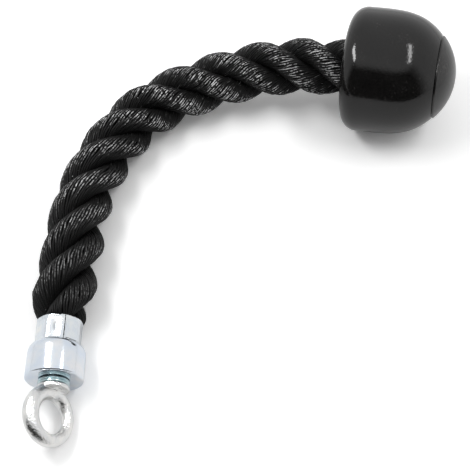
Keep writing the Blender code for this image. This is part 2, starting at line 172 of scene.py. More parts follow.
rope = {
    "radius": 0.016,
    "foot": 0.0158,              # where its cut end stands in the sleeve, from the cup's end face
    "mouth": 0.0308,             # the sleeve's mouth, from the same face
    "seatShare": 0.594,          # what the sleeve leaves of the radius
    "flare": 0.014,              # how far past the mouth the rope is full again
    "flarePower": 0.4,
    "endYaw": math.radians(-14.3),    # which way it runs into the ball
    "endPitch": math.radians(7),
    "intoBall": 0.0419,          # how far it reaches past the ball's rear face
    "ballWall": 0.020,           # how thick the ball's rear wall is
    "stopShare": 0.875,          # what the stop ring inside the ball leaves of the radius
    "neck": 0.004,               # over which it narrows to that
    "routeSteps": 12,            # finer points for each of the route's
    "step": 0.00125,             # between the points that the yarns follow
    "strandCount": 3,
    "layLength": 0.074,          # one turn of the strands
    "firstPhase": -0.88,
    "strandPlace": 0.0087,       # of a strand's middle, from the rope's middle
    "strandHeight": 0.00655,     # from there to the middle of its outermost yarn
    "strandWidth": 0.00745,
    "yarnCount": 33,
    "yarnRadius": 0.00066,
    "yarnSides": 10,
    "yarnLays": ((0, 0.034), (0.04, 0.035), (0.06, 0.044), (0.10, 0.050), (0.13, 0.040), (0.16, 0.031),
                 (0.19, 0.0265), (0.22, 0.0275), (0.24, 0.033), (0.33, 0.034)),    # one turn of a yarn, by distance
    "wobble": 0.0005,            # how far a yarn comes out of line
    "swell": 0.5,                # how much thicker it gets there
    "sway": 0.3,                 # of a yarn from side to side, as a turn in its strand
    "noiseApart": 3.71,          # between two yarns, in the noise
    "noiseAlong": 130.0,         # for a metre of yarn
    "swayApart": 31.7,           # between a yarn's wobble and its sway
    "crownTurn": (0.8, -0.1),    # from the strand's outermost line to the middle of the lines of painted highlight
    "crownGap": (0.2, 0.5),      # from there to either of them, before and after the bend
    "bend": (0.12, 0.19),
    "seed": 4,
}

cupLow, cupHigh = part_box("swivel_cup")
fittingStart = Vector(((cupLow.x + cupHigh.x) / 2, cupLow.y, 0))
fittingHeight = (cupLow.z + cupHigh.z) / 2
fittingPlace = (Matrix.Translation((fittingStart.x, fittingStart.y, fittingHeight))
                @ Matrix.Rotation(-quarterTurn, 4, "X"))
ballAxis = Vector((math.cos(rope["endYaw"]) * math.cos(rope["endPitch"]),
                   math.sin(rope["endYaw"]) * math.cos(rope["endPitch"]), math.sin(rope["endPitch"])))
ballRear = fittingStart + Vector(ropeRoute[-1])
ballPlace = Matrix.Translation(ballRear) @ ballAxis.to_track_quat("Z", "Y").to_matrix().to_4x4()


def smoothRoute(points, steps):
    # a curve through the points, which bends evenly at each of them
    padded = [2 * points[0] - points[1], *points, 2 * points[-1] - points[-2]]
    fine = []
    for index in range(1, len(padded) - 2):
        before, start, end, after = padded[index - 1:index + 3]
        for part in range(steps):
            t = part / steps
            fine.append(0.5 * (2 * start + (end - before) * t
                               + (2 * before - 5 * start + 4 * end - after) * t ** 2
                               + (3 * start - before - 3 * end + after) * t ** 3))
    fine.append(points[-1])
    return fine


def evenPoints(points, step):
    # points at even distances along a line, each with its distance, and the line's length
    lengths = [0.0]
    for start, end in zip(points, points[1:]):
        lengths.append(lengths[-1] + (end - start).length)
    count = round(lengths[-1] / step)
    even, index = [], 0
    for number in range(count + 1):
        distance = lengths[-1] * number / count
        while index < len(points) - 2 and lengths[index + 1] < distance:
            index += 1
        share = (distance - lengths[index]) / (lengths[index + 1] - lengths[index])
        even.append((points[index].lerp(points[index + 1], share), distance))
    return even, lengths[-1]


def ropePath():
    # points along the rope's middle with the share of its radius there
    foot = fittingStart + Vector((0, rope["foot"], fittingHeight))
    mouth = fittingStart + Vector((0, rope["mouth"], fittingHeight))
    end = ballRear + ballAxis * rope["intoBall"]
    bend = smoothRoute([mouth, *(fittingStart + Vector(place) for place in ropeRoute)], rope["routeSteps"])
    points, total = evenPoints([foot, *bend, end], rope["step"])
    mouthAt = (mouth - foot).length
    wallAt = total - rope["intoBall"] + rope["ballWall"]
    path = []
    for place, distance in points:
        size = 1.0
        if distance < mouthAt:
            size = rope["seatShare"]
        elif distance < mouthAt + rope["flare"]:
            share = (distance - mouthAt) / rope["flare"]
            size = rope["seatShare"] + (1 - rope["seatShare"]) * share ** rope["flarePower"]
        elif distance > wallAt - rope["neck"]:
            share = min(1, (distance - wallAt + rope["neck"]) / rope["neck"])
            size = 1 - (1 - rope["stopShare"]) * share
        path.append((place, size))
    return path, total, mouth


def strandTree():
    # yarns that turn round a strand's middle, while that turns round the rope's
    measures = ("Lay Length", "Phase", "Strand Place", "Strand Height", "Strand Width", "Yarn Radius", "Wobble",
                "Sway", "First Crown", "Last Crown", "First Gap", "Last Gap", "Bend Start", "Bend End")
    tree = startTree("laidStrand", "GeometryNodeTree", [
        ("Geometry", "NodeSocketGeometry"), ("Yarn Count", "NodeSocketInt"),
        *((label, "NodeSocketFloat") for label in measures),
        ("Seed", "NodeSocketInt"), ("Material", "NodeSocketMaterial"),
    ], [("Geometry", "NodeSocketGeometry")])
    add = adder(tree)
    calc, join, spread, cloud = calculator(add), vectorCalculator(add), ranger(add), clouder(add)
    given = add("NodeGroupInput").outputs

    def store(geometry, name, value, kind="FLOAT", domain="POINT"):
        return add("GeometryNodeStoreNamedAttribute", {"Geometry": geometry, "Name": name, "Value": value},
                   data_type=kind, domain=domain).outputs[0]

    def stored(name, kind="FLOAT"):
        return add("GeometryNodeInputNamedAttribute", {"Name": name}, data_type=kind).outputs[0]

    def position():
        return add("GeometryNodeInputPosition").outputs[0]

    # the path's tilt holds how far the yarns have turned in their strand
    path = store(given["Geometry"], "yarnTurned", add("GeometryNodeInputCurveTilt").outputs[0])
    level = add("GeometryNodeSetCurveTilt", {"Curve": path, "Tilt": 0.0}).outputs[0]
    turned = stored("yarnTurned")

    # one copy of the path for each yarn, numbered
    copies = add("GeometryNodeDuplicateElements", {"Geometry": level, "Amount": given["Yarn Count"]},
                 domain="SPLINE").outputs
    yarns = store(copies["Geometry"], "yarnNumber", copies["Duplicate Index"], domain="CURVE")
    number = stored("yarnNumber")
    length = add("GeometryNodeSplineParameter").outputs["Length"]
    size = add("GeometryNodeInputRadius").outputs[0]

    # where the strand and the yarn are in their turns, with a slow unevenness, whose noise has its middle at 0.5
    strandTurn = calc("ADD", calc("DIVIDE", calc("MULTIPLY", length, fullTurn), given["Lay Length"]), given["Phase"])
    yarnStart = calc("DIVIDE", calc("MULTIPLY", number, fullTurn), given["Yarn Count"])
    at = add("ShaderNodeCombineXYZ", {0: calc("MULTIPLY", number, rope["noiseApart"]),
                                      1: calc("MULTIPLY", length, rope["noiseAlong"]), 2: given["Seed"]}).outputs[0]
    uneven = calc("SUBTRACT", cloud(at, scale=1.0, detail=2.0), 0.5)
    wobble = calc("MULTIPLY", uneven, calc("MULTIPLY", given["Wobble"], 2.0))
    at = join("ADD", at, (rope["swayApart"], 0, 0))
    sway = calc("SUBTRACT", cloud(at, scale=1.0, detail=1.0), 0.5)
    yarnTurn = calc("ADD", calc("SUBTRACT", yarnStart, turned), calc("MULTIPLY", sway, given["Sway"]))

    # from the rope's middle to the yarn
    normal = add("GeometryNodeInputNormal").outputs[0]
    tangent = add("GeometryNodeInputTangent").outputs[0]
    binormal = join("CROSS_PRODUCT", tangent, normal)
    cosTurn, sinTurn = calc("COSINE", strandTurn), calc("SINE", strandTurn)
    outward = join("ADD", join("SCALE", normal, scale=cosTurn), join("SCALE", binormal, scale=sinTurn))
    sideways = join("SUBTRACT", join("SCALE", binormal, scale=cosTurn), join("SCALE", normal, scale=sinTurn))
    height = calc("ADD", given["Strand Height"], wobble)
    width = calc("ADD", given["Strand Width"], wobble)
    rise = calc("ADD", given["Strand Place"], calc("MULTIPLY", height, calc("COSINE", yarnTurn)))
    reach = calc("MULTIPLY", width, calc("SINE", yarnTurn))
    offset = join("ADD", join("SCALE", outward, scale=calc("MULTIPLY", rise, size)),
                  join("SCALE", sideways, scale=calc("MULTIPLY", reach, size)))
    middle = join("ADD", position(), join("SCALE", outward, scale=calc("MULTIPLY", given["Strand Place"], size)))

    # how near the yarn is to the lines of painted highlight, which lie further apart past the bend
    bent = spread(length, (given["Bend Start"], given["Bend End"]), soft=True)
    crownTurn = spread(bent, to=(given["First Crown"], given["Last Crown"]))
    crownGap = spread(bent, to=(given["First Gap"], given["Last Gap"]))
    off = calc("ARCCOSINE", calc("COSINE", calc("SUBTRACT", yarnTurn, crownTurn)))
    crown = calc("COSINE", calc("SUBTRACT", off, crownGap))
    yarns = store(yarns, "strandMiddle", middle, "FLOAT_VECTOR")
    yarns = store(yarns, "yarnCrown", crown)
    laid = add("GeometryNodeSetPosition", {"Geometry": yarns, "Offset": offset}).outputs[0]

    # what the fibres' pattern follows
    laid = store(laid, "yarnAlong", length)
    laid = store(laid, "yarnMiddle", position(), "FLOAT_VECTOR")
    circle = add("GeometryNodeCurvePrimitiveCircle", {"Resolution": rope["yarnSides"],
                                                      "Radius": given["Yarn Radius"]}).outputs["Curve"]
    across = join("SCALE", position(), scale=calc("DIVIDE", 1.0, given["Yarn Radius"]))
    circle = store(circle, "yarnAcross", across, "FLOAT_VECTOR")
    thick = calc("MULTIPLY", size, calc("ADD", 1.0, calc("MULTIPLY", uneven, rope["swell"])))
    mesh = add("GeometryNodeCurveToMesh", {"Curve": laid, "Profile Curve": circle, "Scale": thick,
                                           "Fill Caps": True}).outputs[0]
    yarnMiddle, strandMiddle = stored("yarnMiddle", "FLOAT_VECTOR"), stored("strandMiddle", "FLOAT_VECTOR")
    away = join("NORMALIZE", join("SUBTRACT", yarnMiddle, strandMiddle))
    proud = join("DOT_PRODUCT", join("SUBTRACT", position(), yarnMiddle), away)
    mesh = store(mesh, "yarnProud", calc("DIVIDE", proud, given["Yarn Radius"]))
    smooth = add("GeometryNodeSetShadeSmooth", {"Geometry": mesh, "Shade Smooth": True}).outputs[0]
    real = add("GeometryNodeRealizeInstances", {"Geometry": smooth}).outputs[0]
    painted = add("GeometryNodeSetMaterial", {"Geometry": real, "Material": given["Material"]}).outputs[0]
    add("NodeGroupOutput", {"Geometry": painted})
    return tree


def meshFromNodes(name, source, tree, values):
    # the evaluated result of a node tree as a plain mesh object
    modifier = source.modifiers.new(tree.name, "NODES")
    modifier.node_group = tree
    setInputs(modifier, values)
    graph = bpy.context.evaluated_depsgraph_get()
    shown = source.evaluated_get(graph)
    mesh = bpy.data.meshes.new_from_object(shown, preserve_all_data_layers=True, depsgraph=graph)
    mesh.name = name
    source.modifiers.remove(modifier)
    return placeObject(name, mesh)


fibre = {
    "dark": (0.0034, 0.0034, 0.0034),
    "paintedGlint": (0.86, 0.86, 0.865),
    "edge": (0.82, 1.0),             # how far out on a yarn the painted highlight starts and is full
    "crown": (0.62, 0.98),           # how near the lines of painted highlight it starts and is full
    "plain": 0.5,                    # how much of it reaches the yarns away from them
    "glintStrength": (0.42, 1.12),            # how much painted highlight there is near the fitting and past the bend
    "glintStrengthPlace": (0.045, 0.125),
    "stroke": 0.0017,                # about how long a stroke of painted highlight is
    "strokeApart": 7.3,              # between two yarns, in the strokes' noise
    "strokeEnds": (0.41, 0.53),      # where in that noise a stroke starts and is full
    "split": (4.5, 220.0),           # how fine the fibres are, across a yarn and for a metre along it
    "splitApart": 5.3,
    "splitDetail": (3.0, 0.65),
    "splitEnds": (0.40, 0.54),
    "roughness": (0.6, 0.35),        # in the hollows and on the painted highlight strokes
    "bump": 0.5,
    "bumpDepth": 0.0002,
    "gloss": 0.22,
}


def fibreMaterial():
    material, shader, add = startMaterial("ropeFibre")
    calc, spread, cloud = calculator(add), ranger(add), clouder(add)
    along, number, crown, raised = (add("ShaderNodeAttribute", attribute_name=name).outputs["Fac"]
                                    for name in ("yarnAlong", "yarnNumber", "yarnCrown", "yarnProud"))
    across = add("ShaderNodeAttribute", attribute_name="yarnAcross").outputs["Vector"]
    parts = add("ShaderNodeSeparateXYZ", {0: across}).outputs

    # fine fibres that bump the yarn, and the longer pale strokes of painted highlight: glints painted into the colour
    # where the lamps would catch the yarns
    fine, lengthwise = fibre["split"]
    at = add("ShaderNodeCombineXYZ", {0: calc("ADD", parts[0], calc("MULTIPLY", number, fibre["splitApart"])),
                                      1: parts[1], 2: calc("MULTIPLY", along, lengthwise)}).outputs[0]
    fibres = cloud(at, fine, *fibre["splitDetail"])
    at = add("ShaderNodeCombineXYZ", {0: calc("MULTIPLY", number, fibre["strokeApart"]),
                                      1: calc("MULTIPLY", along, 1 / fibre["stroke"])}).outputs[0]
    strokes = spread(cloud(at, scale=1.0, detail=2.0), fibre["strokeEnds"])
    broken = calc("MULTIPLY", strokes, spread(fibres, fibre["splitEnds"]))
    edge = spread(raised, fibre["edge"], soft=True)
    proud = spread(crown, fibre["crown"], (fibre["plain"], 1.0), soft=True)
    glintStrength = spread(along, fibre["glintStrengthPlace"], fibre["glintStrength"], soft=True)
    # pale strokes of painted highlight on the yarns' outer edges along the highlight lines, stronger past the bend
    paintedGlint = calc("MULTIPLY", calc("MULTIPLY", edge, proud), calc("MULTIPLY", broken, glintStrength))
    tone = add("ShaderNodeMix", {"Factor": paintedGlint, 6: (*fibre["dark"], 1), 7: (*fibre["paintedGlint"], 1)},
               data_type="RGBA")
    finishMaterial(add, shader, fibre, fibres, {
        "Base Color": tone.outputs[2], "Roughness": spread(paintedGlint, to=fibre["roughness"]),
        "Specular IOR Level": fibre["gloss"]})
    return material


def tableValue(table, place):
    for (start, first), (end, second) in zip(table, table[1:]):
        if place <= end:
            return first + (second - first) * (place - start) / (end - start)
    return table[-1][1]


def makeRope():
    path, total, mouth = ropePath()
    curve = bpy.data.curves.new("ropePath", "CURVE")
    curve.dimensions = "3D"
    curve.twist_mode = "MINIMUM"
    spline = curve.splines.new("POLY")
    spline.points.add(len(path) - 1)
    turned = distance = 0.0
    before = path[0][0]
    for point, (place, size) in zip(spline.points, path):
        step = (place - before).length
        distance += step
        turned += step * fullTurn / tableValue(rope["yarnLays"], distance)
        before = place
        point.co = (*place, 1)
        point.radius = size
        point.tilt = turned
    source = placeObject("ropePath", curve)
    tree = strandTree()
    values = {"Yarn Count": rope["yarnCount"], "Lay Length": rope["layLength"], "Strand Place": rope["strandPlace"],
              "Strand Height": rope["strandHeight"], "Strand Width": rope["strandWidth"],
              "Yarn Radius": rope["yarnRadius"], "Wobble": rope["wobble"], "Sway": rope["sway"],
              "Material": fibreMaterial()}
    for label, pair in (("Crown", "crownTurn"), ("Gap", "crownGap")):
        values["First " + label], values["Last " + label] = rope[pair]
    values["Bend Start"], values["Bend End"] = rope["bend"]
    strands = []
    for number in range(rope["strandCount"]):
        values["Phase"] = rope["firstPhase"] + number * fullTurn / rope["strandCount"]
        values["Seed"] = rope["seed"] + number
        strands.append(meshFromNodes(f"rope_strand_{number + 1}", source, tree, values))
    bpy.data.objects.remove(source)
    for strand in strands:
        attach(strand, "grip")
    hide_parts("rope")
    tuple(mouth)
    [tuple(place) for place, size in path]
    print("rope laid:", [len(strand.data.polygons) for strand in strands], "faces,", round(total, 4), "m")


makeRope()


def addPiece(name, shape, material, place, sharpAngle=40):
    bmesh.ops.transform(shape, matrix=place, verts=shape.verts)
    bmesh.ops.recalc_face_normals(shape, faces=shape.faces)
    mesh = bpy.data.meshes.new(name)
    shape.to_mesh(mesh)
    shape.free()
    mesh.shade_smooth()
    mesh.set_sharp_from_angle(angle=math.radians(sharpAngle))
    mesh.materials.append(material)
    return placeObject(name, mesh)


def turnedShape(profile, sides):
    # a closed outline of (radius, height) turned round Z; a point on the axis is one vertex
    shape = bmesh.new()
    turns = [fullTurn * side / sides for side in range(sides)]
    rings = []
    for radius, height in profile:
        if radius == 0:
            rings.append([shape.verts.new((0, 0, height))])
        else:
            rings.append([shape.verts.new((radius * math.cos(turn), radius * math.sin(turn), height))
                          for turn in turns])
    for ring, after in zip(rings, rings[1:] + rings[:1]):
        for side in range(sides):
            beyond = side + 1
            corners = [ring[side % len(ring)], ring[beyond % len(ring)],
                       after[beyond % len(after)], after[side % len(after)]]
            corners = list(dict.fromkeys(corners))
            if len(corners) > 2:
                shape.faces.new(corners)
    return shape


def joinLoops(shape, loops, nextLoops):
    # faces between each loop of vertices and the one after it
    for loop, after in zip(loops, nextLoops):
        for index in range(len(loop)):
            beyond = (index + 1) % len(loop)
            shape.faces.new((loop[index], loop[beyond], after[beyond], after[index]))


def arcPoints(centre, across, along, start, end, steps):
    angles = [start + (end - start) * step / steps for step in range(steps + 1)]
    return [(centre[0] + across * math.cos(angle), centre[1] + along * math.sin(angle)) for angle in angles]


def roundCorners(profile, radii, steps=5):
    # rounds the corners of a closed outline; radii gives one radius to each point, 0 for none
    done = []
    count = len(profile)
    for index, (point, radius) in enumerate(zip(profile, radii)):
        if radius == 0:
            done.append(point)
            continue
        corner = Vector(point)
        before = (Vector(profile[index - 1]) - corner).normalized()
        after = (Vector(profile[(index + 1) % count]) - corner).normalized()
        half = before.angle(after) / 2
        reach = radius / math.tan(half)
        start, end = corner + before * reach, corner + after * reach
        for step in range(steps + 1):
            share = step / steps
            middle = start.lerp(corner, share)
            done.append(tuple(middle.lerp(corner.lerp(end, share), share)))
    return done


def smoothStep(share):
    share = min(1, max(0, share))
    return share * share * (3 - 2 * share)


# what the metals' finishes share
skinLook = {
    "cloudDetail": (3.0, 0.55, 0.4),    # with its roughness and distortion
    "grainDetail": 2.0,
    "turningDetail": (2.0, 0.6),
    "turningDrift": 0.0004,             # how slowly a turning mark changes on its way round
    "spots": (0.3, 0.5, 0.7),           # where in the clouds the three tints are
    "dimpleShadeEdge": (1.25, 0.55),           # where the painted shade over the sleeve's dimple starts and is full, as shares of its size
}
noiseRange = (0.3, 0.7)                 # where most of a noise's values are


def metalSkinGroup():
    # soft clouds, fine grain and turning marks on a metal whose axis is Z
    tree = startTree("metalSkin", "ShaderNodeTree", [
        ("Vector", "NodeSocketVector"), ("Cloud Scale", "NodeSocketFloat"), ("Grain Scale", "NodeSocketFloat"),
        ("Turning", "NodeSocketFloat"), ("Turning Scale", "NodeSocketFloat"),
    ], [("Cloud", "NodeSocketFloat"), ("Grain", "NodeSocketFloat"), ("Height", "NodeSocketFloat")])
    add = adder(tree)
    calc, cloud = calculator(add), clouder(add)
    given = add("NodeGroupInput").outputs
    clouds = cloud(given["Vector"], given["Cloud Scale"], *skinLook["cloudDetail"])
    grain = cloud(given["Vector"], given["Grain Scale"], skinLook["grainDetail"])
    parts = add("ShaderNodeSeparateXYZ", {0: given["Vector"]}).outputs
    radius = calc("SQRT", calc("ADD", calc("MULTIPLY", parts[0], parts[0]), calc("MULTIPLY", parts[1], parts[1])))
    turn = calc("ARCTAN2", parts[1], parts[0])
    at = add("ShaderNodeCombineXYZ", {0: radius, 1: parts[2],
                                      2: calc("MULTIPLY", turn, skinLook["turningDrift"])}).outputs[0]
    marks = cloud(at, given["Turning Scale"], *skinLook["turningDetail"])
    height = calc("ADD", calc("MULTIPLY", marks, given["Turning"]),
                  calc("MULTIPLY", grain, calc("SUBTRACT", 1.0, given["Turning"])))
    add("NodeGroupOutput", {"Cloud": clouds, "Grain": grain, "Height": height})
    return tree


metalSkin = metalSkinGroup()


def centredOn(add, place):
    # object coordinates as seen from a piece's own axis
    turn = place.to_3x3().inverted().to_euler("XYZ")
    shift = place.inverted().to_translation()
    coordinates = add("ShaderNodeTexCoord").outputs["Object"]
    return add("ShaderNodeMapping", {"Vector": coordinates, "Location": shift, "Rotation": turn}).outputs[0]


def tintRamp(add, value, spots, tints):
    made = add("ShaderNodeValToRGB", {0: value})
    elements = made.color_ramp.elements
    if len(tints) > 2:
        elements.new(0.5)
    for element, position, colour in zip(elements, spots, tints):
        element.position = position
        element.color = (*colour, 1)
    return made.outputs[0]


def metalMaterial(name, place, look):
    material, shader, add = startMaterial(name)
    calc, spread = calculator(add), ranger(add)
    at = centredOn(add, place)
    skin = add("ShaderNodeGroup", {"Vector": at, "Cloud Scale": look["cloudScale"], "Grain Scale": look["grainScale"],
                                   "Turning": look["turning"], "Turning Scale": look["turningScale"]},
               node_tree=metalSkin).outputs
    colour = tintRamp(add, skin["Cloud"], skinLook["spots"], look["tints"])
    if "dimpleShade" in look:
        # painted shade: a darker oval over the sleeve's dimple on the side that faces up, for the shade in its hollow
        across, along, halfWidth, halfLength, dull = look["dimpleShade"]
        parts = add("ShaderNodeSeparateXYZ", {0: at}).outputs
        aside = calc("DIVIDE", calc("SUBTRACT", parts[0], across), halfWidth)
        ahead = calc("DIVIDE", calc("SUBTRACT", parts[2], along), halfLength)
        distance = calc("SQRT", calc("ADD", calc("MULTIPLY", aside, aside), calc("MULTIPLY", ahead, ahead)))
        inside = spread(distance, skinLook["dimpleShadeEdge"], soft=True)
        facing = calc("LESS_THAN", parts[1], 0.0)
        shade = calc("SUBTRACT", 1.0, calc("MULTIPLY", calc("MULTIPLY", inside, facing), dull))
        colour = vectorCalculator(add)("SCALE", colour, scale=shade)
    finishMaterial(add, shader, look, skin["Height"], {
        "Base Color": colour, "Roughness": spread(skin["Grain"], noiseRange, look["roughness"]), "Metallic": 1.0})
    return material


dimple = (0.0004, 0.0245, 0.0017, 0.0027)    # in the sleeve: across, along, half width, half length
steelLook = {
    "tints": ((0.48, 0.49, 0.51), (0.55, 0.56, 0.58), (0.62, 0.62, 0.62)), "cloudScale": 150, "grainScale": 1800,
    "turning": 0.6, "turningScale": 2400, "roughness": (0.3, 0.45), "bump": 0.3, "bumpDepth": 0.0001}
zincPlate = metalMaterial("zincPlate", fittingPlace, {
    "tints": ((0.66, 0.73, 0.83), (0.73, 0.78, 0.84), (0.80, 0.81, 0.83)), "cloudScale": 120, "grainScale": 2600,
    "turning": 0.75, "turningScale": 2600, "roughness": (0.09, 0.17), "bump": 0.2, "bumpDepth": 0.0001})
sleeveZinc = metalMaterial("sleeveZinc", fittingPlace, {
    "tints": ((0.69, 0.74, 0.80), (0.75, 0.79, 0.82), (0.82, 0.83, 0.82)), "cloudScale": 160, "grainScale": 1500,
    "turning": 0.1, "turningScale": 2000, "roughness": (0.09, 0.17), "bump": 0.25, "bumpDepth": 0.00015,
    # the dimple's painted shade, 0.3 darker at its middle
    "dimpleShade": (*dimple, 0.3)})
forgedZinc = metalMaterial("forgedZinc", fittingPlace, {
    "tints": ((0.70, 0.71, 0.72), (0.77, 0.77, 0.76), (0.84, 0.83, 0.81)), "cloudScale": 220, "grainScale": 1500,
    "turning": 0.0, "turningScale": 1000, "roughness": (0.09, 0.18), "bump": 0.6, "bumpDepth": 0.0004})
darkZinc = metalMaterial("darkZinc", fittingPlace, {
    "tints": ((0.38, 0.52, 0.54), (0.52, 0.63, 0.64), (0.70, 0.77, 0.77)), "cloudScale": 200, "grainScale": 2000,
    "turning": 0.7, "turningScale": 3000, "roughness": (0.15, 0.3), "bump": 0.3, "bumpDepth": 0.0001})
plainSteel = metalMaterial("plainSteel", ballPlace, steelLook)
seatSteel = metalMaterial("seatSteel", fittingPlace, steelLook)


def plainMaterial(name, place, look):
    # moulded rubber, nylon or cloth tape: two or three tones, with an even or a woven bump
    material, shader, add = startMaterial(name)
    calc, spread, cloud = calculator(add), ranger(add), clouder(add)
    at = centredOn(add, place)
    clouds = cloud(at, look["cloudScale"], detail=4.0)
    grain = cloud(at, look["grainScale"], detail=2.0)
    height = grain
    if "weave" in look:
        parts = add("ShaderNodeSeparateXYZ", {0: at}).outputs
        warp = calc("SINE", calc("MULTIPLY", calc("ARCTAN2", parts[1], parts[0]), look["weaveTurns"]))
        weft = calc("SINE", calc("MULTIPLY", parts[2], look["weave"]))
        height = calc("ADD", calc("MULTIPLY", warp, weft), calc("MULTIPLY", grain, look["weaveGrain"]))
    speckle = look.get("speckle", 0.0)
    mottle = calc("ADD", calc("MULTIPLY", clouds, 1.0 - speckle), calc("MULTIPLY", grain, speckle))
    finishMaterial(add, shader, look, height, {
        "Base Color": tintRamp(add, mottle, look.get("spots", noiseRange), look["tints"]),
        "Roughness": spread(clouds, noiseRange, look["roughness"]), "Specular IOR Level": look["gloss"]})
    return material


ballRubber = plainMaterial("ballRubber", ballPlace, {
    "tints": ((0.0022, 0.0021, 0.0021), (0.0072, 0.0068, 0.0066), (0.03, 0.028, 0.027)),
    "spots": (0.3, 0.62, 0.72), "cloudScale": 90, "grainScale": 900, "speckle": 0.6,
    "roughness": (0.07, 0.13), "bump": 0.12, "bumpDepth": 0.0003, "gloss": 0.39})
capRubber = plainMaterial("capRubber", ballPlace, {
    "tints": ((0.005, 0.0048, 0.0047), (0.012, 0.0114, 0.011), (0.06, 0.056, 0.053)),
    "spots": (0.3, 0.6, 0.7), "cloudScale": 90, "grainScale": 700, "speckle": 0.6,
    "roughness": (0.2, 0.28), "bump": 0.16, "bumpDepth": 0.0003, "gloss": 0.5})
nylon = plainMaterial("nylon", fittingPlace, {
    "tints": ((0.08, 0.14, 0.42), (0.11, 0.17, 0.48)), "cloudScale": 300, "grainScale": 1500,
    "roughness": (0.4, 0.55), "bump": 0.2, "bumpDepth": 0.0001, "gloss": 0.5})
bindingTape = plainMaterial("bindingTape", ballPlace, {
    "tints": ((0.02, 0.02, 0.02), (0.04, 0.04, 0.04)), "cloudScale": 400, "grainScale": 3000, "weave": 7000,
    "weaveTurns": 110, "weaveGrain": 0.5, "roughness": (0.55, 0.75), "bump": 0.5, "bumpDepth": 0.0001, "gloss": 0.4})
print("finishes made")

ball = {
    "radius": 0.03475,
    "length": 0.050,
    "rim": 0.009,                # how far the rear edge is rounded, along and across
    "rimDrop": 0.0085,
    "rimSteps": 20,
    "nosePower": 3.8,            # how late its side turns in towards the seam
    "sideSteps": 44,
    "seamRadius": 0.0232,
    "seamRound": 0.0003,
    "bore": 0.0163,
    "boreRound": 0.0006,
    "cavityRadius": 0.0205,
    "cavityRound": 0.0004,
    "capStep": 0.0005,           # how much narrower the cap is than the ball at the seam
    "capGap": 0.0003,
    "capBrim": 0.0008,
    "brimRound": 0.0004,
    "capRise": 0.009,
    "capSteps": 40,
    "capShell": 0.003,
    "hollowSteps": 24,
    "capPlug": 0.006,            # how far the cap's plug reaches into the cavity
    "capPlugWall": 0.0025,
    "plugRound": 0.0003,
    "sides": 160,
}


def makeBall():
    length, rim = ball["length"], ball["rim"]
    outside = arcPoints((ball["radius"] - ball["rimDrop"], rim), ball["rimDrop"], rim, -quarterTurn, 0,
                        ball["rimSteps"])
    swell = ball["radius"] - ball["seamRadius"]
    for step in range(1, ball["sideSteps"]):
        share = math.sin(quarterTurn * step / ball["sideSteps"])
        outside.append((ball["radius"] - swell * share ** ball["nosePower"], rim + (length - rim) * share))
    profile = [*outside, (ball["seamRadius"], length), (ball["cavityRadius"], length),
               (ball["cavityRadius"], rope["ballWall"]), (ball["bore"], rope["ballWall"]), (ball["bore"], 0)]
    radii = [0] * len(outside) + [ball["seamRound"], ball["cavityRound"], 0, 0, ball["boreRound"]]
    body = addPiece("ball_grip", turnedShape(roundCorners(profile, radii), ball["sides"]), ballRubber, ballPlace)

    radius = ball["seamRadius"] - ball["capStep"]
    foot = length + ball["capGap"]
    brim = foot + ball["capBrim"]
    sphere = (radius ** 2 + ball["capRise"] ** 2) / (2 * ball["capRise"])
    centre = (0, brim + ball["capRise"] - sphere)
    edge = math.acos(radius / sphere)
    dome = arcPoints(centre, sphere, sphere, quarterTurn, edge, ball["capSteps"])
    plug = ball["cavityRadius"] - ball["capGap"]
    plugInner = plug - ball["capPlugWall"]
    plugEnd = length - ball["capPlug"]
    hollow = sphere - ball["capShell"]
    inner = arcPoints(centre, hollow, hollow, math.acos(plugInner / hollow), quarterTurn, ball["hollowSteps"])
    profile = [*dome, (radius, foot), (plug, foot), (plug, plugEnd), (plugInner, plugEnd), *inner]
    radii = [0] * (len(dome) - 1) + [ball["brimRound"], ball["seamRound"], 0, ball["plugRound"], ball["plugRound"]]
    radii += [0] * len(inner)
    profile[0] = (0, profile[0][1])
    profile[-1] = (0, profile[-1][1])
    cap = addPiece("ball_dome", turnedShape(roundCorners(profile, radii), ball["sides"]), capRubber, ballPlace)
    for made, node in ((body, "ball_body"), (cap, "ball_cap")):
        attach(made, "grip")
        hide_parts(node)
    print("ball and cap made")


makeBall()

fitting = {
    "cupRadius": 0.0144,
    "cupBore": 0.012,
    "cupLength": 0.0175,
    "cupEndWall": 0.003,
    "cupShoulder": 0.0046,
    "shoulderSteps": 18,
    "cupEdge": 0.0011,
    "cupLip": 6,                 # the flat of its lip is a sixth of its wall
    "cupLipRound": 0.0002,
    "studHole": 0.0043,
    "holeRound": 0.0003,
    "sides": 180,
    "sleeveRadius": 0.0117,
    "sleeveFoot": 0.0033,
    "sleeveWall": 0.0012,
    "sleeveSides": 288,
    "sleeveRows": (72, 12),      # outside and inside
    "sleeveRound": 0.0002,
    "flats": 8,
    "crimpDepth": 0.0007,
    "crimpLead": 0.0011,
    "flatDish": 0.00012,         # how hollow the middle of each flat is
    "ridgeRound": 0.0005,
    "lip": (0.0024, 0.0022),     # how far before the mouth the crimp starts to fade, and over what length
    "lipFade": 0.75,             # how much of it is gone at the mouth
    "lipEdge": 0.0009,           # where the lip's rounding starts
    "lipRound": 0.00045,
    "slitAngle": -quarterTurn + math.radians(22.5),
    "slitWidth": 0.0003,
    "burr": (0.00008, 0.0003),   # of the slit's left and right edge
    "burrWidth": 0.0005,
    "slitWobble": 0.00007,
    "wobbleReach": 0.0008,
    "wobblePitch": (2300, 3100),    # of the slit's two edges
    "wobbleFiner": 2.7,          # how much finer the wave is that lies over it
    "dimpleDepth": 0.0001,
    "washerRadius": 0.0077,
    "washerThickness": 0.0026,
    "washerGroove": (0.0002, 0.0003, 0.00008),    # half its width, its depth and its edges' rounding
    "washerRound": 0.0005,
    "washerHoleRound": 0.0002,
    "washerSides": 128,
    "gap": 0.0003,
}


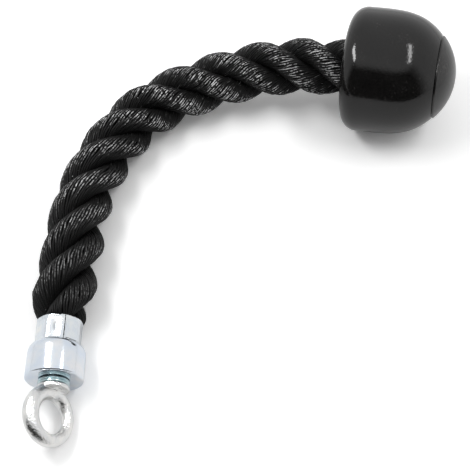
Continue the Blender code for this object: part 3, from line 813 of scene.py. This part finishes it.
def makeCup():
    bore, radius, length = fitting["cupBore"], fitting["cupRadius"], fitting["cupLength"]
    wall = radius - bore
    shoulder = arcPoints((bore, length - fitting["cupShoulder"]), wall, fitting["cupShoulder"], 0, quarterTurn,
                         fitting["shoulderSteps"])[:-1]
    lip = (bore + wall / fitting["cupLip"], length)
    profile = [(fitting["studHole"], 0), (radius, 0), *shoulder, lip, (bore, length),
               (bore, fitting["cupEndWall"]), (fitting["studHole"], fitting["cupEndWall"])]
    radii = [fitting["holeRound"], fitting["cupEdge"], *[0] * len(shoulder), 0, fitting["cupLipRound"], 0,
             fitting["holeRound"]]
    cup = addPiece("collar", turnedShape(roundCorners(profile, radii), fitting["sides"]), zincPlate, fittingPlace)
    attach(cup, "grip")
    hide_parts("swivel_cup")


def sleeveSurface(turn, height):
    # the crimped sleeve's outer radius
    step = fullTurn / fitting["flats"]
    off = (turn + step / 2) % step - step / 2
    full = fitting["sleeveRadius"]
    middle = math.cos(off / step * math.pi) ** 2
    flat = (full - fitting["crimpDepth"]) / math.cos(off) - fitting["flatDish"] * middle
    soft = fitting["ridgeRound"]
    mix = min(1, max(0, 0.5 + 0.5 * (full - flat) / soft))
    pressed = full + (flat - full) * mix - soft * mix * (1 - mix)
    pastCup = smoothStep((height - fitting["cupLength"]) / fitting["crimpLead"])
    lipStart, lipLength = fitting["lip"]
    crimp = pastCup * (1 - fitting["lipFade"] * smoothStep((height - rope["mouth"] + lipStart) / lipLength))
    radius = full + (pressed - full) * crimp
    across, along, halfWidth, halfLength = dimple
    fromMiddle = (math.sin(turn + quarterTurn) * radius - across) / halfWidth
    if math.sin(turn) < 0:
        distance = fromMiddle ** 2 + ((height - along) / halfLength) ** 2
        radius -= fitting["dimpleDepth"] * math.exp(-distance ** 1.5)
    fromSlit = ((turn - fitting["slitAngle"] + math.pi) % fullTurn - math.pi) * full
    return radius + fitting["burr"][fromSlit > 0] * math.exp(-(fromSlit / fitting["burrWidth"]) ** 2) * pastCup


def makeSleeve():
    foot, mouth, wall = fitting["sleeveFoot"], rope["mouth"], fitting["sleeveWall"]
    rows, innerRows = fitting["sleeveRows"]
    section = [(0, foot + (mouth - foot) * row / rows) for row in range(rows + 1)]
    section += [(wall, mouth - (mouth - foot) * row / innerRows) for row in range(innerRows + 1)]
    radii = [fitting["sleeveRound"], *[0] * (rows - 1), fitting["lipRound"], fitting["lipRound"],
             *[0] * (innerRows - 1), fitting["sleeveRound"]]
    section[rows - 1] = (0, mouth - fitting["lipEdge"])
    section = roundCorners(section, radii)
    halfSlit = fitting["slitWidth"] / 2 / fitting["sleeveRadius"]
    start = fitting["slitAngle"] + halfSlit
    sides = fitting["sleeveSides"]
    turns = [start + (fullTurn - 2 * halfSlit) * side / sides for side in range(sides + 1)]
    shape = bmesh.new()
    loops = []
    for turn in turns:
        loop = []
        fromStart, fromEnd = turn - turns[0], turns[-1] - turn
        near = math.exp(-min(fromStart, fromEnd) * fitting["sleeveRadius"] / fitting["wobbleReach"])
        pitch = fitting["wobblePitch"][fromStart >= fromEnd]
        for inset, height in section:
            wave = math.sin(pitch * height) + math.sin(fitting["wobbleFiner"] * pitch * height)
            moved = turn + fitting["slitWobble"] * near * wave / fitting["sleeveRadius"]
            radius = sleeveSurface(moved, height) - inset
            loop.append(shape.verts.new((radius * math.cos(moved), radius * math.sin(moved), height)))
        loops.append(loop)
    joinLoops(shape, loops, loops[1:])
    shape.faces.new(loops[0])
    shape.faces.new(list(reversed(loops[-1])))
    sleeve = addPiece("crimped_sleeve", shape, sleeveZinc, fittingPlace, sharpAngle=50)
    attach(sleeve, "grip")
    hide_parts("crimp_sleeve")
    print("cup and sleeve made")


def makeThrustWasher():
    radius, hole, gap = fitting["washerRadius"], fitting["studHole"], fitting["gap"]
    top, foot = -gap, -gap - fitting["washerThickness"]
    middle = (top + foot) / 2
    groove, depth, grooveRound = fitting["washerGroove"]
    edge, holeEdge = fitting["washerRound"], fitting["washerHoleRound"]
    profile = [(hole, foot), (radius, foot), (radius, middle - groove), (radius - depth, middle),
               (radius, middle + groove), (radius, top), (hole, top)]
    radii = [holeEdge, edge, grooveRound, 0, grooveRound, edge, holeEdge]
    washer = addPiece("dark_washer", turnedShape(roundCorners(profile, radii), fitting["washerSides"]), darkZinc,
                      fittingPlace)
    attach(washer, "eye")
    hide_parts("thrust_washer")


makeCup()
makeSleeve()
makeThrustWasher()

eye = {
    "turn": math.radians(52),
    "hole": 0.0081,
    "bar": 0.0035,
    "thicker": (-0.00045, 0.0001),   # of the bar, to one side and towards the neck
    "ringMiddle": 0.0151,            # of the ring, below the top of the shoulder
    "ringSides": (128, 48),          # round the hole and round the bar
    "top": -0.0032,
    "shoulderRadius": 0.008,
    "shoulderLength": 0.0020,
    "neckLength": 0.0034,
    "neckRadius": 0.0030,
    "neckSteps": 12,
    "studRadius": 0.004,
    "studTip": 0.0132,
    "studChamfer": 0.0007,
    "studSides": 96,
    "voxel": 0.00022,
    "smoothing": (0.5, 10),          # how strong and how often
    "forged": ((700, 0.00004), (1900, 0.000022)),    # how fine and how deep its unevenness is
}


def eyeRing():
    # a ring in the XZ plane whose bar is a little thicker on one side of its round hole
    shape = bmesh.new()
    turns, steps = eye["ringSides"]
    loops = []
    for turn in (fullTurn * number / turns for number in range(turns)):
        bar = eye["bar"] + eye["thicker"][0] * math.cos(turn) + eye["thicker"][1] * math.sin(turn)
        loop = []
        for angle in (fullTurn * number / steps for number in range(steps)):
            radius = eye["hole"] + bar + bar * math.cos(angle)
            loop.append(shape.verts.new((radius * math.cos(turn), bar * math.sin(angle), radius * math.sin(turn))))
        loops.append(loop)
    joinLoops(shape, loops, loops[1:] + loops[:1])
    return shape


def makeEye():
    top = eye["top"]
    shoulderFoot = top - eye["shoulderLength"]
    neckFoot = shoulderFoot - eye["neckLength"]
    neck = arcPoints((eye["shoulderRadius"], neckFoot), eye["neckRadius"] - eye["shoulderRadius"],
                     eye["neckLength"], quarterTurn, 0, eye["neckSteps"])
    profile = [(0, eye["studTip"]), (0, neckFoot), *reversed(neck), (eye["shoulderRadius"], top),
               (eye["studRadius"], top), (eye["studRadius"], eye["studTip"] - eye["studChamfer"]),
               (eye["studRadius"] - eye["studChamfer"], eye["studTip"])]
    shape = turnedShape(profile, eye["studSides"])
    ring = eyeRing()
    bmesh.ops.translate(ring, vec=(0, 0, top - eye["ringMiddle"]), verts=ring.verts)
    ringMesh = bpy.data.meshes.new("eyeRing")
    bmesh.ops.recalc_face_normals(ring, faces=ring.faces)
    ring.to_mesh(ringMesh)
    ring.free()
    bmesh.ops.recalc_face_normals(shape, faces=shape.faces)
    shape.from_mesh(ringMesh)
    bpy.data.meshes.remove(ringMesh)
    swivelled = fittingPlace @ Matrix.Rotation(eye["turn"], 4, "Z")
    rough = addPiece("eyeRough", shape, forgedZinc, swivelled)

    # the voxels weld ring, neck and stud, and the noise forges the skin
    remesh = rough.modifiers.new("remesh", "REMESH")
    remesh.mode = "VOXEL"
    remesh.voxel_size = eye["voxel"]
    soften = rough.modifiers.new("soften", "SMOOTH")
    soften.factor, soften.iterations = eye["smoothing"]
    graph = bpy.context.evaluated_depsgraph_get()
    mesh = bpy.data.meshes.new_from_object(rough.evaluated_get(graph))
    mesh.name = "eye"
    bpy.data.objects.remove(rough)
    moved = []
    for vertex, normal in zip(mesh.vertices, mesh.vertex_normals):
        depth = sum(deep * noise.noise(vertex.co * fine) for fine, deep in eye["forged"])
        moved.extend(vertex.co + normal.vector * depth)
    mesh.vertices.foreach_set("co", moved)
    mesh.update()
    mesh.materials.clear()
    mesh.materials.append(forgedZinc)
    mesh.shade_smooth()
    made = placeObject("eye", mesh)
    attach(made, "eye")
    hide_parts("eye_bolt")
    print("eye forged:", len(mesh.polygons), "faces")


makeEye()

# the pieces inside keep their solids and get their finishes
for node, finish in (("seat_disc", seatSteel), ("inner_washer", zincPlate), ("lock_nut", zincPlate),
                     ("nut_insert", nylon), ("stop_washer", plainSteel), ("stop_ring", plainSteel),
                     ("end_whipping", bindingTape)):
    for slot in bpy.data.objects[node].material_slots:
        slot.material = finish
print("inner pieces finished")

# a pale room that is dark behind the camera, two strip lights over it and a white table
studio = {
    "ceiling": 0.95,             # brightness of the room's parts, where white is 1
    "walls": 0.9,
    "dark": 0.02,                # of the part behind the camera
    "darkSides": (0.12, 0.6),    # how far towards the camera that starts and is full
    "darkTurn": 0.3,             # how much later on the right
    "darkTop": (42, 56),         # degrees above the table
    "ceilingFrom": (45, 65),
    "softLight": 0.72,           # how much of the room's brightness lights dull surfaces
    "darkLight": 0.5,            # how bright the dark part is for them
    # share is a strip's light in mirroring surfaces, soft is its light on dull ones
    "leftBar": {"place": (-0.234, 0.045, 0.41), "size": (0.28, 0.1), "turn": 21.5, "share": 0.56, "soft": 0.3},
    "rightBar": {"place": (0.329, 0.004, 0.668), "size": (0.41, 0.068), "turn": 0, "share": 0.145, "soft": 0.17},
    "table": 0.93,
    "tableSeen": 1.28,           # how light the camera sees it
    "tableFar": 2.6,             # and towards its edges, so that they don't show
    "tableFade": (0.35, 0.7),
    "tableRoughness": 0.6,
    "tableGloss": 0.2,
    "tableFront": -0.34,         # its front edge, outside the picture
    "tableReach": 0.8,
}


def barLight(name, look, share, mirrored):
    # a strip that faces the table's middle; its share is of what makes a white table white there
    data = bpy.data.lights.new(name, "AREA")
    data.shape = "RECTANGLE"
    data.size, data.size_y = look["size"]
    place = Vector(look["place"])
    away = place.normalized()
    data.energy = share * math.pi ** 2 * place.length ** 2 / away.z
    lamp = placeObject(name, data)
    turn = math.radians(look["turn"])
    along = Vector((-math.sin(turn), math.cos(turn), 0))
    long = (along - away * along.dot(away)).normalized()
    lamp.matrix_world = Matrix.Translation(place) @ Matrix((long, away.cross(long), away)).transposed().to_4x4()
    lamp.visible_camera = False
    lamp.visible_glossy = mirrored
    lamp.visible_diffuse = not mirrored


def makeWorld():
    world = bpy.data.worlds.new("studio")
    scene.world = world
    world.use_nodes = True
    add = adder(world.node_tree)
    calc, join, spread = calculator(add), vectorCalculator(add), ranger(add)
    background = world.node_tree.nodes["Background"]
    towards = join("NORMALIZE", add("ShaderNodeTexCoord").outputs["Generated"])
    x, y, rise = add("ShaderNodeSeparateXYZ", {0: towards}).outputs
    start, full = studio["darkSides"]
    facing = calc("ADD", y, calc("MULTIPLY", calc("MAXIMUM", x, 0.0), studio["darkTurn"]))
    aside = spread(facing, (-full, -start), soft=True)
    darkTop, ceilingFrom = ([math.sin(math.radians(turn)) for turn in studio[part]]
                            for part in ("darkTop", "ceilingFrom"))
    over = spread(rise, darkTop, soft=True)
    wall = spread(calc("MAXIMUM", aside, over), to=(studio["dark"], studio["walls"]))
    above = spread(rise, ceilingFrom, (1.0, studio["ceiling"] / studio["walls"]), soft=True)
    rays = add("ShaderNodeLightPath").outputs
    lit = calc("MAXIMUM", wall, calc("MULTIPLY", rays["Is Diffuse Ray"], studio["darkLight"]))
    room = calc("MULTIPLY", lit, above)
    seen = calc("MAXIMUM", rays["Is Camera Ray"], rays["Is Transmission Ray"])
    dull = calc("SUBTRACT", 1.0, calc("MULTIPLY", rays["Is Diffuse Ray"], 1.0 - studio["softLight"]))
    strength = calc("ADD", calc("MULTIPLY", calc("MULTIPLY", room, dull), calc("SUBTRACT", 1.0, seen)), seen)
    setDefaults(background, {"Strength": strength, "Color": (1, 1, 1, 1)})


def makeTable():
    mesh = bpy.data.meshes.new("table")
    shape = bmesh.new()
    reach, front = studio["tableReach"], studio["tableFront"]
    corners = [(-reach, front, 0), (reach, front, 0), (reach, reach, 0), (-reach, reach, 0)]
    shape.faces.new([shape.verts.new(corner) for corner in corners])
    shape.to_mesh(mesh)
    shape.free()
    material, shader, add = startMaterial("tableTop")
    calc, join, spread = calculator(add), vectorCalculator(add), ranger(add)
    seen = add("ShaderNodeLightPath").outputs["Is Camera Ray"]
    far = join("LENGTH", add("ShaderNodeTexCoord").outputs["Object"])
    paler = spread(far, studio["tableFade"], (studio["tableSeen"], studio["tableFar"]))
    tone = calc("MAXIMUM", calc("MULTIPLY", seen, paler), studio["table"])
    setDefaults(shader, {"Base Color": tone, "Roughness": studio["tableRoughness"],
                         "Specular IOR Level": studio["tableGloss"]})
    mesh.materials.append(material)
    table = placeObject("table", mesh)


makeWorld()
for name in ("leftBar", "rightBar"):
    barLight(name, studio[name], studio[name]["share"], mirrored=True)
    barLight(name + "Soft", studio[name], studio[name]["soft"], mirrored=False)
makeTable()
scene.view_settings.view_transform = "Standard"
print("stage set")
